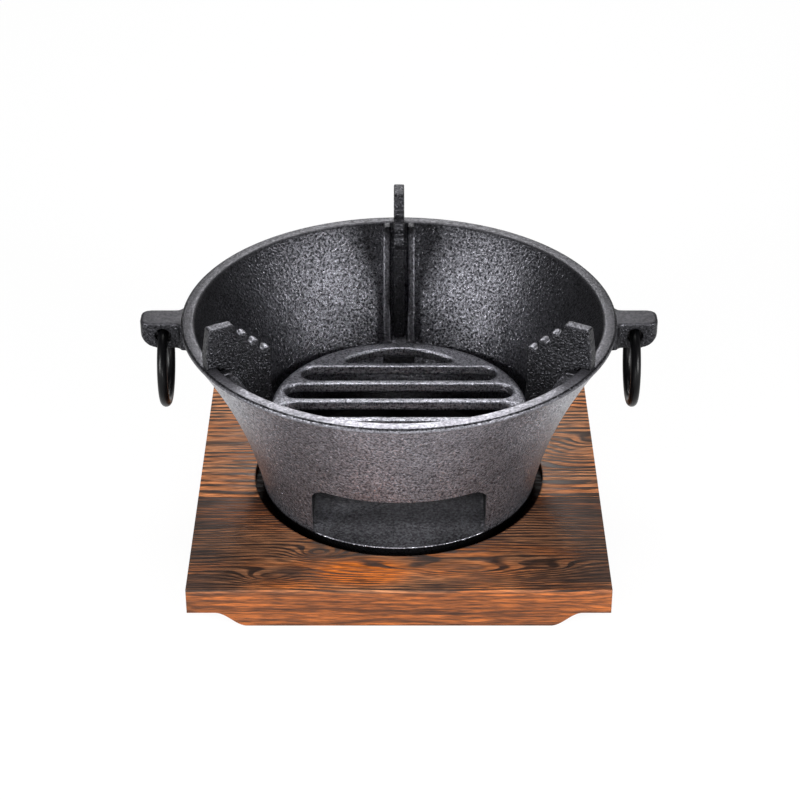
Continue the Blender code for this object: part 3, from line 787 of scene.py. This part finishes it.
def shell_mesh(bowl, wall, iron):
    """The bowl's turned wall and floor with the draught vent cut through."""
    turn_steps = 256
    skim = 0.01 * MM
    vent_reach = 140 * MM
    smooth_angle = math.radians(40)
    section = bpy.data.meshes.new("section")
    # The tree's circle has a radius of 1, so the section is drawn from there.
    line = [(radius - 1, -z, 0) for radius, z in wall.section()]
    section.from_pydata(line, [(i, i + 1) for i in range(len(line) - 1)], [])
    drawn = new_object("section", section)
    shell = from_tree(turned_tree(), section=drawn, steps=turn_steps, finish=iron)
    bpy.data.objects.remove(drawn, do_unlink=True)
    shell = joined("shell", [shell])
    half = bowl.vent_width / 2
    top = wall.floor + bowl.vent_height
    corner = bowl.vent_corner
    mouth = [(-half, wall.floor - skim), (half, wall.floor - skim)]
    mouth += arc((half - corner, top - corner), corner, 0, 90, 8)
    mouth += arc((corner - half, top - corner), corner, 90, 180, 8)
    shell = cut(shell, upright_prism("vent", mouth, 0, vent_reach))
    shell = eased_sill(shell, wall)
    shell.shade_smooth()
    shell.set_sharp_from_angle(angle=smooth_angle)
    return shell


def shade_shell(shell, wall):
    """Marks where the bowl's shell is ground smooth and where it is lighter or darker: painted light on the
    outer wall towards the front, painted shade at the foot, low inside and high inside, and painted
    highlights on the vent's sill and the rim's front.
    """
    x, y, height = points_of(shell).T
    radius = numpy.hypot(x, y)
    depth = wall.outer(height) - radius
    # How far towards the front. The outer wall and the rim get painted light there.
    front = numpy.clip(-y / wall.rim_radius, 0, 1) ** 2
    outside = ramp(depth, 1 * MM, 0.4 * MM)
    inside = 1 - outside
    top = ramp(rise_of(shell), 0.55, 0.85) * (height > wall.rim - 2 * MM)
    top = top * (radius < wall.rim_radius - 1.2 * MM)
    floor = (numpy.abs(height - wall.floor) < 1 * MM) * inside
    # Painted shade: the inside is darkened low down, towards the ash floor and in the vent.
    ash = ramp(height, wall.floor + 26 * MM, wall.floor + 10 * MM) * inside
    # Painted shade: the inner wall is darker towards the rim.
    upper = ramp(height, wall.rim - 45 * MM, wall.rim) * inside
    # Painted shadow: the outside of the foot, below the ash floor, is darkened where the bowl stands in the
    # recess.
    foot = ramp(height, wall.floor + 1 * MM, wall.floor - 0.5 * MM) * outside
    lip = ramp(height, wall.lip, wall.lip + 0.5 * MM) * outside
    # A thin painted highlight along the rounded front edge of the ash floor in the vent.
    middle = wall.sill_round / 2
    sill_highlight = numpy.abs(wall.floor - height - middle) < 0.9 * middle
    sill_highlight = sill_highlight * (numpy.abs(depth - middle) < 0.9 * middle)
    shades = (
        (0.9, outside),
        # Painted light: the outer wall is lighter towards the front.
        (0.9, outside * front),
        (-2.1, foot),
        (-1.0, lip),
        (-0.9, ash),
        (-0.55, upper),
        (5.0, sill_highlight),
    )
    tone = 1 + sum(weight * part for weight, part in shades)
    # Painted highlight: the rim's top is lighter towards the front.
    rim_highlight_tone = 0.7 + 3.4 * front
    mark(shell, "ground", numpy.maximum(numpy.maximum(0.8 * top, 0.6 * lip), floor))
    mark(shell, "tone", tone * (1 - top) + rim_highlight_tone * top)


def ear_mesh(bowl, wall):
    """One ear at +X: a lug with a rounded end, a fillet at the rim and the ring's hole."""
    root_depth = 9 * MM
    corner = 5 * MM
    under_flat = 11.5 * MM
    under_sweep = 13 * MM
    under_rise = 14 * MM
    overrun = 5 * MM
    cut_reach = 40 * MM
    half = bowl.ear_width / 2
    fillet = bowl.ear_fillet
    tip = BOWL_HIGH.x
    root = math.sqrt(wall.rim_radius ** 2 - half ** 2)
    plan = [(wall.rim_radius - root_depth, half + fillet)]
    plan += arc((root + fillet, half + fillet), fillet, 200, 270, 6)
    plan += arc((tip - corner, half - corner), corner, 90, 0, 6)
    plan += [(x, -y) for x, y in reversed(plan)]
    top = wall.rim - bowl.ear_drop
    low = top - bowl.ear_height
    lug = prism("ear", plan, low, top)
    flat_end = tip - under_flat
    under = [(tip + overrun, low - overrun), (flat_end, low - overrun), (flat_end, low)]
    under += arc((flat_end, low + under_sweep), under_sweep, -86, -26, 8)
    under.append((tip + overrun, low + under_rise))
    below = upright_prism("under", under, -cut_reach, cut_reach)
    joint = next(j for j in frame["record"]["behaviour"]["joints"] if j["name"] == "ring_right_swing")
    x, _, z = joint["pos_m"]
    hole = upright_prism("hole", circle((x, z), bowl.hole_radius, 24), -cut_reach, cut_reach)
    return cut(lug, below, hole)


def channel_mesh(bowl, wall):
    """One support's channel at +X: two ribs on the wall, a bracket under the grate and a stop above it."""
    grate_gap = 0.3 * MM
    bracket_depth = 7 * MM
    bracket_slope = 6 * MM
    rib_drop = 0.5 * MM
    rib_lean = 1 * MM
    root = 2 * MM
    deep_root = 3 * MM
    stop_gap = 1.2 * MM
    stop_height = 4.5 * MM
    stop_root = 2 * MM
    stop_overlap = 1 * MM
    ledge = GRATE_LOW.z - grate_gap
    start = ledge - bracket_depth
    end = wall.rim - rib_drop
    heights = list(numpy.linspace(start, end, 16))
    face = [(wall.inner(z) - bowl.rib_depth, z) for z in heights]
    face[-1] = (face[-1][0] + rib_lean, end)
    back = [(wall.inner(z) + root, z) for z in reversed(heights)]
    back[0] = (wall.inner(wall.rim) + deep_root, end)
    meshes = []
    for side in (bowl.channel_half + bowl.rib_width, -bowl.channel_half):
        rib = upright_prism("rib", face + back, 0, bowl.rib_width)
        rib.transform(Matrix.Translation((0, side, 0)))
        meshes.append(rib)
    wide = bowl.channel_half + bowl.rib_width
    reach = GRATE_HIGH.x - bowl.bracket_ledge
    heel = start - bracket_slope
    outline = [(reach, ledge), (wall.inner(ledge) + root, ledge)]
    outline += [(wall.inner(heel) + root, heel), (reach, start)]
    bracket = upright_prism("bracket", outline, -wide, wide)
    half = bowl.channel_half + stop_overlap
    stop = box_mesh("stop", (GRATE_HIGH.x + stop_gap, -half, ledge - stop_root),
                    (wall.inner(ledge) + deep_root, half, ledge + stop_height))
    return joined("channel", meshes + [bracket, stop])


class HIBACHI_OT_fire_bowl(bpy.types.Operator):
    """Build the fire bowl: turned wall, draught vent, ears and support channels in one casting"""
    bl_idname = "hibachi.fire_bowl"
    bl_label = "Fire Bowl"

    def execute(self, context):
        bowl = context.scene.hibachi_bowl
        wall = Wall(bowl)
        iron = sand_cast_iron("Sand-cast seasoned iron", context.scene.hibachi_finish, grain=1.4, relief=0.6)
        shell = shell_mesh(bowl, wall, iron)
        shade_shell(shell, wall)
        place_piece("fire_bowl_wall", shell, iron, "bowl", "fire_bowl")
        ears = cast(ear_mesh(bowl, wall), bowl.voxel, passes=5)
        level = points_of(ears)[:, 2] > wall.rim - bowl.ear_drop - 0.6 * MM
        mark(ears, "ground", 1.0 * level)
        mark(ears, "tone", 0.25 + 0.4 * level)
        channels = cast(channel_mesh(bowl, wall), bowl.voxel, passes=5)
        y, z = points_of(channels).T[1:]
        # Painted light: the stop is much lighter, a painted highlight. The channels are darker below the
        # grate and near the rim as painted shade.
        stop = (z > GRATE_LOW.z + 1 * MM) * (numpy.abs(y) < bowl.channel_half - 1 * MM)
        shaded = (z < GRATE_LOW.z) | (z > wall.rim - 4 * MM)
        mark(channels, "ground", 0.3)
        mark(channels, "tone", 0.8 + 4 * stop - 0.5 * shaded)
        copies = copies_tree()
        for name, shape, count, first in (("ears", ears, 2, 0.0), ("channels", channels, 3, math.pi / 2)):
            model = new_object(name, shape)
            mesh = from_tree(copies, piece=model, count=count, first_angle=first, finish=iron)
            bpy.data.objects.remove(model, do_unlink=True)
            place_piece(f"fire_bowl_{name}", mesh, iron, "bowl", "fire_bowl")
        return {"FINISHED"}


def grate_outlines(grate):
    """The grate seen from above: its round edge, its straight slots and the crescents beyond them."""
    radius = GRATE_HIGH.x
    opening = radius - grate.ring_width
    pitch = grate.slot_width + grate.bar_width
    outlines = [circle((0, 0), radius, 144)]
    for index in range(grate.slots):
        offset = (index - (grate.slots - 1) / 2) * pitch - grate.shift
        reach = math.sqrt(opening ** 2 - offset ** 2) - grate.slot_width / 2
        outlines.append(arc((reach, offset), grate.slot_width / 2, -90, 90, 16)
                        + arc((-reach, offset), grate.slot_width / 2, 90, 270, 16))
    corner = grate.bar_width / 2
    middle = radius - grate.crescent_ring - grate.crescent_radius
    for side in (1, -1):
        low = grate.slots * pitch / 2 + grate.bar_width - side * grate.shift
        half = math.sqrt((grate.crescent_radius - corner) ** 2 - (low - middle) ** 2)
        spread = math.degrees(math.atan2(low - middle, half))
        crescent = arc((half, low), corner, -90, spread, 6)
        crescent += arc((0, middle), grate.crescent_radius, spread, 180 - spread, 30)[1:-1]
        crescent += arc((-half, low), corner, 180 - spread, 270, 6)
        outlines.append([(x, side * y) for x, y in crescent])
    return outlines


class HIBACHI_OT_fire_grate(bpy.types.Operator):
    """Build the slotted fire grate"""
    bl_idname = "hibachi.fire_grate"
    bl_label = "Fire Grate"

    def execute(self, context):
        grate = context.scene.hibachi_grate
        iron = sand_cast_iron("Sand-cast iron, grate", context.scene.hibachi_finish, grain=1.2, relief=0.4)
        mesh = plate("grate", grate_outlines(grate), GRATE_HIGH.z - GRATE_LOW.z)
        mesh.transform(Matrix.Translation((0, 0, (GRATE_HIGH.z + GRATE_LOW.z) / 2)))
        mesh = cast(mesh, grate.voxel, passes=6)
        # The slots' rounded edges, which face halfway between level and upright, are painted lighter: a
        # painted highlight.
        lip_highlights = ramp(numpy.abs(numpy.abs(rise_of(mesh)) - 0.75), 0.25, 0)
        mark(mesh, "ground", 0.2)
        mark(mesh, "tone", 3.1 + 3.4 * lip_highlights)
        place_piece("fire_grate_casting", mesh, iron, "grate", "fire_grate")
        return {"FINISHED"}


def support_outline(supports, wall):
    """The rear support seen from its side: radius and height around the pan seat, the teeth and the wall."""
    heel_gap = 0.3 * MM
    heel_height = 8 * MM
    neck_drop = 1.5 * MM
    inner, outer = SUPPORT_LOW.y, SUPPORT_HIGH.y
    along = Vector((math.cos(supports.slope), math.sin(supports.slope)))
    degrees = math.degrees(supports.slope)
    points = [(outer - supports.lean, SUPPORT_HIGH.z)]
    soft = supports.seat_round
    points += arc((outer - supports.seat + soft, SUPPORT_HIGH.z - soft), soft, 90, 160, 6)
    last = Vector((inner, wall.rim - supports.tooth_drop)) + along * supports.tooth_radius
    for index in reversed(range(supports.teeth)):
        middle = last + along * supports.tooth_pitch * index
        points += arc(middle, supports.tooth_radius, degrees, degrees + 180, 14)
    points.append((inner, SUPPORT_LOW.z))
    heights = numpy.linspace(SUPPORT_LOW.z, wall.rim - neck_drop, 20)
    points += [(wall.inner(z) - supports.rim_gap, z) for z in heights]
    heel = wall.rim + heel_gap
    points.append((wall.rim_radius - wall.bowl.rim_width - supports.rim_gap, heel))
    return points + [(outer, heel), (outer, heel + heel_height)]


class HIBACHI_OT_pot_supports(bpy.types.Operator):
    """Build the three toothed pot supports"""
    bl_idname = "hibachi.pot_supports"
    bl_label = "Pot Supports"

    def execute(self, context):
        supports = context.scene.hibachi_supports
        wall = Wall(context.scene.hibachi_bowl)
        iron = sand_cast_iron("Sand-cast iron, supports", context.scene.hibachi_finish, grain=1.2, relief=0.8)
        shape = plate("support", [support_outline(supports, wall)], SUPPORT_HIGH.x - SUPPORT_LOW.x)
        shape.transform(UPRIGHT)
        shape = cast(shape, supports.voxel, passes=5)
        height = points_of(shape)[:, 2]
        # Upward faces above the rim, on the pan seat and the teeth, are ground smoother by wear and are also
        # lighter as a painted highlight, more so on the teeth.
        wear_and_highlight = ramp(rise_of(shape), 0.7, 0.95) * ramp(height, wall.rim, wall.rim + 4 * MM)
        teeth = height < SUPPORT_HIGH.z - 4 * MM
        model = new_object("support", shape)
        copies = copies_tree()
        # The rear support takes a quarter as much wear and painted highlight as the other two.
        for name, azimuth, polish_and_highlight in (("rear", 90, 0.25), ("left", 210, 1.0), ("right", 330, 1.0)):
            mesh = from_tree(copies, piece=model, count=1, first_angle=math.radians(azimuth), finish=iron)
            mark(mesh, "ground", 0.3 * polish_and_highlight * wear_and_highlight)
            mark(mesh, "tone", 0.25 + polish_and_highlight * wear_and_highlight * (1.3 + 1.5 * teeth))
            place_piece(f"pot_support_{name}_casting", mesh, iron, f"support_{name}",
                        f"pot_support_{name}")
        bpy.data.objects.remove(model, do_unlink=True)
        return {"FINISHED"}


class HIBACHI_OT_ring_handles(bpy.types.Operator):
    """Build the two wire ring handles"""
    bl_idname = "hibachi.ring_handles"
    bl_label = "Ring Handles"

    def execute(self, context):
        rings = context.scene.hibachi_rings
        paint = painted_wire(context.scene.hibachi_finish)
        tree = bent_wire_tree()
        for name in ("left", "right"):
            low, high = corners(f"ring_handle_{name}")
            mesh = from_tree(tree, ring_radius=high.y - rings.wire / 2, wire_radius=rings.wire / 2,
                             steps=rings.steps, centre=(low + high) / 2, finish=paint)
            place_piece(f"ring_{name}_wire", mesh, paint, f"ring_{name}", f"ring_handle_{name}")
        return {"FINISHED"}


def plank_mesh(name, base):
    """One plank of the base with its share of the recess and the finger coves, its edges rounded."""
    overrun = 10 * MM
    cove_drop = 1 * MM
    cove_reach = 200 * MM
    cove_steps = 16
    low, high = corners(f"base_plank_{name}")
    cutters = [prism("recess", circle((0, 0), base.recess_radius, 240),
                     high.z - base.recess_depth, high.z + overrun)]
    flat_end = high.x - base.grip_flat
    outline = [(high.x + overrun, -cove_drop), (high.x + overrun, base.grip_height)]
    for step in range(cove_steps):
        share = step / cove_steps
        height = base.grip_height * (1 + math.cos(math.pi * share)) / 2
        outline.append((flat_end - base.grip_cove * share, height))
    outline.append((flat_end - base.grip_cove, -cove_drop))
    for side in (1, -1):
        cutters.append(upright_prism("cove", [(side * x, z) for x, z in outline], -cove_reach, cove_reach))
    obj = new_object(name, cut(box_mesh(name, low, high), *cutters))
    round_edges = obj.modifiers.new("round", "BEVEL")
    round_edges.width = base.edge_round
    round_edges.segments = 3
    round_edges.limit_method = "ANGLE"
    round_edges.angle_limit = math.radians(40)
    mesh = settled(obj)
    mesh.shade_smooth()
    mesh.set_sharp_from_angle(angle=math.radians(35))
    return mesh


class HIBACHI_OT_plank_base(bpy.types.Operator):
    """Build the torched plank base with its recess and finger coves"""
    bl_idname = "hibachi.plank_base"
    bl_label = "Plank Base"

    def execute(self, context):
        base = context.scene.hibachi_base
        for name, plank in PLANKS.items():
            corner = corners(f"base_plank_{name}")[1]
            wood = torched_pine(f"Torched and brushed pine, {name} plank", context.scene.hibachi_finish,
                                corner, base.recess_radius, plank)
            place_piece(f"plank_{name}", plank_mesh(name, base), wood, "base",
                        f"base_plank_{name}")
        return {"FINISHED"}


def white_studio(scene):
    """A world that is white to the camera and gives the object a little light, most of it from low down."""
    scene.world = bpy.data.worlds.new("White studio")
    scene.world.use_nodes = True
    tree = scene.world.node_tree
    tree.nodes.clear()
    ray = add_node(tree, "ShaderNodeTexCoord", output="Generated")
    height = add_node(tree, "ShaderNodeSeparateXYZ", {0: ray}, "Z")
    level = add_node(tree, "ShaderNodeMapRange", {
        "Value": height, "From Min": 0.1, "From Max": 0.5, "To Min": 0.2, "To Max": 0.05}, **SMOOTH)
    seen = add_node(tree, "ShaderNodeLightPath", output="Is Camera Ray")
    level = add_node(tree, "ShaderNodeMath", {0: level, 1: seen}, operation="MAXIMUM")
    sky = add_node(tree, "ShaderNodeBackground", {"Color": (1, 1, 1, 1), "Strength": level})
    add_node(tree, "ShaderNodeOutputWorld", {"Surface": sky})


class HIBACHI_OT_stage(bpy.types.Operator):
    """Set the white studio floor, the soft lights and the camera"""
    bl_idname = "hibachi.stage"
    bl_label = "Stage"

    def execute(self, context):
        floor_reach = 6
        floor_depth = 0.02
        scene = context.scene
        stage = scene.hibachi_stage
        floor = new_object("floor", box_mesh("floor", (-floor_reach, -floor_reach, -floor_depth),
                                             (floor_reach, floor_reach, 0)))
        floor.data.materials.append(studio_paper(stage))
        white_studio(scene)
        for name, light in LAMPS.items():
            lamp = bpy.data.lights.new(name, "AREA")
            lamp.size = light["size"]
            lamp.energy = light["watts"]
            obj = new_object(name, lamp)
            obj.location = light["place"]
            way = Vector(light["aim"]) - Vector(light["place"])
            obj.rotation_euler = way.to_track_quat("-Z", "Y").to_euler()
        camera = bpy.data.cameras.new("camera")
        camera.lens = stage.lens
        camera.sensor_width = 36
        camera.clip_end = 20
        obj = new_object("camera", camera)
        back = Vector((0, -math.cos(stage.pitch), math.sin(stage.pitch))) * stage.distance
        obj.location = Vector(stage.target) + back
        obj.rotation_euler = (math.pi / 2 - stage.pitch, 0, 0)
        scene.camera = obj
        scene.view_settings.view_transform = "Standard"
        return {"FINISHED"}


OPERATORS = (
    HIBACHI_OT_plank_base,
    HIBACHI_OT_fire_bowl,
    HIBACHI_OT_fire_grate,
    HIBACHI_OT_pot_supports,
    HIBACHI_OT_ring_handles,
    HIBACHI_OT_stage,
)


class HIBACHI_PT_panel(bpy.types.Panel):
    """The hibachi's sizes, colours and steps"""
    bl_idname = "HIBACHI_PT_panel"
    bl_label = "Table Hibachi"
    bl_space_type = "VIEW_3D"
    bl_region_type = "UI"
    bl_category = "Hibachi"

    def draw(self, context):
        for operator in OPERATORS:
            self.layout.operator(operator.bl_idname)
        for name, group in SETTINGS.items():
            box = self.layout.box()
            box.label(text=name.split("_")[1].title())
            for field in group.__annotations__:
                box.prop(getattr(context.scene, name), field)


def register():
    """Registers the settings, the steps and the panel."""
    for name, group in SETTINGS.items():
        bpy.utils.register_class(group)
        setattr(bpy.types.Scene, name, PointerProperty(type=group))
    for operator in OPERATORS:
        bpy.utils.register_class(operator)
    bpy.utils.register_class(HIBACHI_PT_panel)


def unregister():
    """Takes the panel, the steps and the settings away again."""
    bpy.utils.unregister_class(HIBACHI_PT_panel)
    for operator in reversed(OPERATORS):
        bpy.utils.unregister_class(operator)
    for name, group in SETTINGS.items():
        delattr(bpy.types.Scene, name)
        bpy.utils.unregister_class(group)


def main():
    """Builds the hibachi and its stage."""
    register()
    bpy.ops.hibachi.plank_base()
    bpy.ops.hibachi.fire_bowl()
    bpy.ops.hibachi.fire_grate()
    bpy.ops.hibachi.pot_supports()
    bpy.ops.hibachi.ring_handles()
    bpy.ops.hibachi.stage()


if __name__ == "__main__":
    main()
